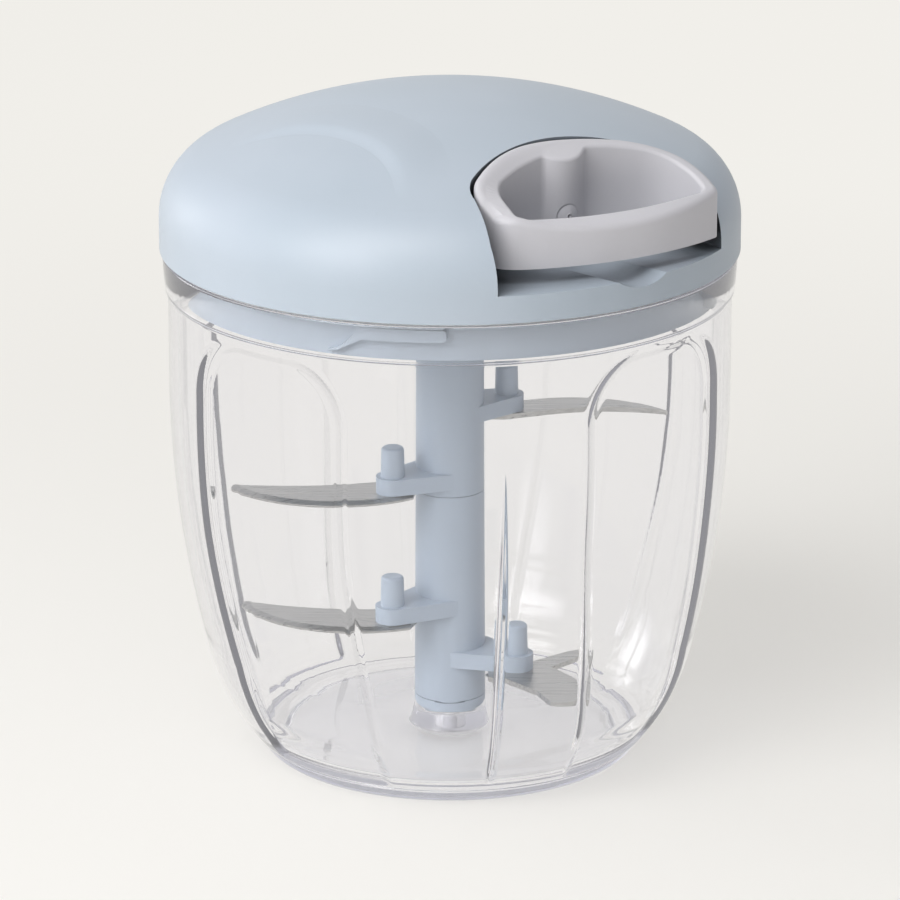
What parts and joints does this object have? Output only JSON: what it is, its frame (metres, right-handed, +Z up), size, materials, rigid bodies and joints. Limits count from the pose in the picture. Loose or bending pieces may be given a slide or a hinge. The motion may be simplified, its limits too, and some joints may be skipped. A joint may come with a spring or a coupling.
{
  "type": "pull cord food chopper",
  "caption": "Manual food chopper: clear bowl with a removable blade spindle, and a domed lid with a D-shaped pull handle on a recoiling cord.",
  "frame": {"origin": "middle of the bowl's foot, on the surface it stands on", "axes": "+Z up along the spindle; -Y towards the pictured front; the handle pulls out at the right front"},
  "size_m": [0.1348, 0.1348, 0.158],
  "materials": {
    "clear_plastic": "clear polished plastic with a faint lilac tint",
    "lid_plastic": "satin pale slate blue",
    "handle_plastic": "satin light grey",
    "grey_plastic": "satin blue grey",
    "white_plastic": "natural white",
    "seal_rubber": "translucent white",
    "blade_steel": "brushed stainless",
    "bright_steel": "ground bright",
    "spring_steel": "tempered blue grey",
    "cord_fibre": "braided white cord"
  },
  "bodies": {
    "bowl": {"bowl": "clear_plastic", "spindle_pin": "bright_steel", "thrust_washer": "white_plastic"},
    "blades": {"shaft_foot_cap": "grey_plastic", "pin_bush": "white_plastic", "shaft_lower": "grey_plastic", "shaft_upper": "grey_plastic", "blade_top": "blade_steel", "blade_middle": "blade_steel", "blade_low": "blade_steel", "blade_leaf": "blade_steel", "blade_wing": "blade_steel"},
    "seal": {"lid_gasket": "seal_rubber"},
    "lid": {"lid_base": "lid_plastic", "lid_cover": "lid_plastic", "lid_screws": "bright_steel", "cord_eyelet": "bright_steel", "reel_housing": "white_plastic", "housing_cap": "white_plastic", "axle_pin": "bright_steel", "recoil_spring": "spring_steel", "cord_lead": "cord_fibre"},
    "reel": {"drive_hub": "white_plastic", "cord_reel": "white_plastic", "cord_winding": "cord_fibre", "reel_clip": "spring_steel"},
    "handle": {"pull_handle": "handle_plastic", "cord_knot": "cord_fibre"}
  },
  "joints": [
    {"name": "lid_lift", "type": "slide", "parent": "bowl", "child": "seal", "axis": [0, 0, 1], "range_m": [0, 0.06]},
    {"name": "lid_twist", "type": "hinge", "parent": "seal", "child": "lid", "pos_m": [0, 0, 0.1218], "axis": [0, 0, 1], "range_deg": [-22, 0]},
    {"name": "handle_pull", "type": "slide", "parent": "lid", "child": "handle", "axis": [0.503, -0.8643, 0], "range_m": [0, 0.6], "stiffness_N_per_m": 12, "springref_m": -0.4, "deforming": ["cord_lead"]},
    {"name": "reel_spin", "type": "hinge", "parent": "lid", "child": "reel", "pos_m": [0, 0, 0.1372], "axis": [0, 0, 1], "range_deg": [-2400, 0]},
    {"name": "spindle_slip", "type": "slide", "parent": "reel", "child": "blades", "axis": [0, 0, 1], "range_m": [-0.06, 0]}
  ],
  "couplings": [
    {"joint": "reel_spin", "follows": "handle_pull", "rad_per_m": -68.966},
    {"joint": "spindle_slip", "follows": "lid_lift", "ratio": -1}
  ]
}
